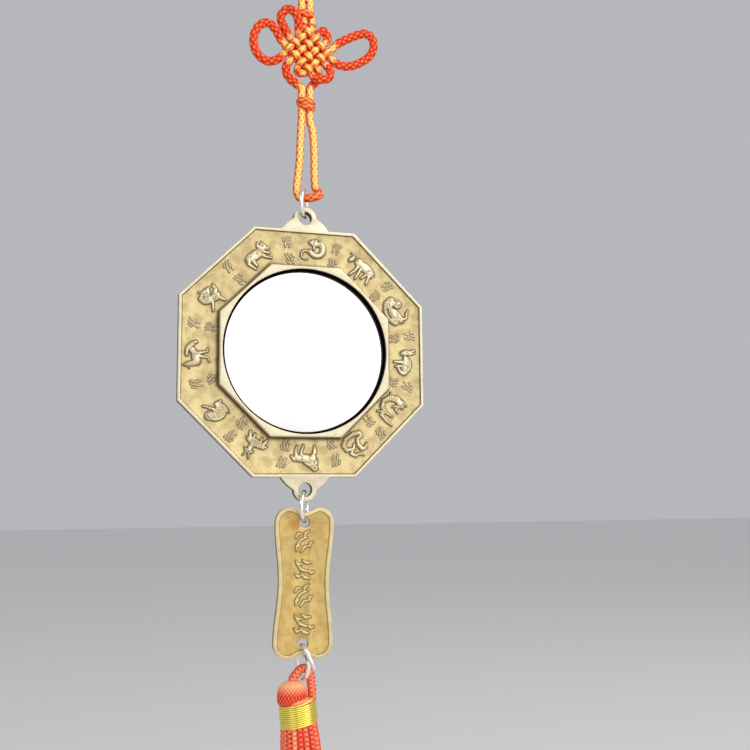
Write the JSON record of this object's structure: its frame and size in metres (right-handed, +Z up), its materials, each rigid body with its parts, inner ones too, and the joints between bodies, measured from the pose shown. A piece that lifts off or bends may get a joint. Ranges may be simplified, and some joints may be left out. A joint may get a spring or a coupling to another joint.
{
  "type": "hanging octagonal mirror charm",
  "caption": "Small cast octagonal frame with a round mirror, raised zodiac figures, hanging plate, knotted red cord above and red tassel below.",
  "frame": {"origin": "inside top of the hanging loop, where a hook bears", "axes": "+Z up along the hanging charm, the mirror faces -Y"},
  "size_m": [0.06, 0.0114, 0.2525],
  "materials": {
    "antique_brass": "cast, rubbed bright on the raised parts, dark in the hollows",
    "tag_brass": "cast, golden, dark round the strokes",
    "silver_wire": "bright plated wire",
    "gold_wire": "bright gold-coloured wire",
    "red_cord": "braided and twisted, silky",
    "mirror_silvering": "polished, ground edge"
  },
  "bodies": {
    "root": {"mirror_frame": "antique_brass", "mirror_glass": "mirror_silvering", "upper_ring": "silver_wire", "middle_ring": "silver_wire", "open_ring": "silver_wire", "inscription_plate": "tag_brass", "hanging_loop": "red_cord", "upper_small_knot": "red_cord", "mystic_knot_left_strand": "red_cord", "mystic_knot_right_strand": "red_cord", "lower_small_knot": "red_cord", "ring_cord": "red_cord", "tassel_loop": "red_cord", "tassel": "red_cord", "gold_wrap": "gold_wire"}
  },
  "joints": []
}
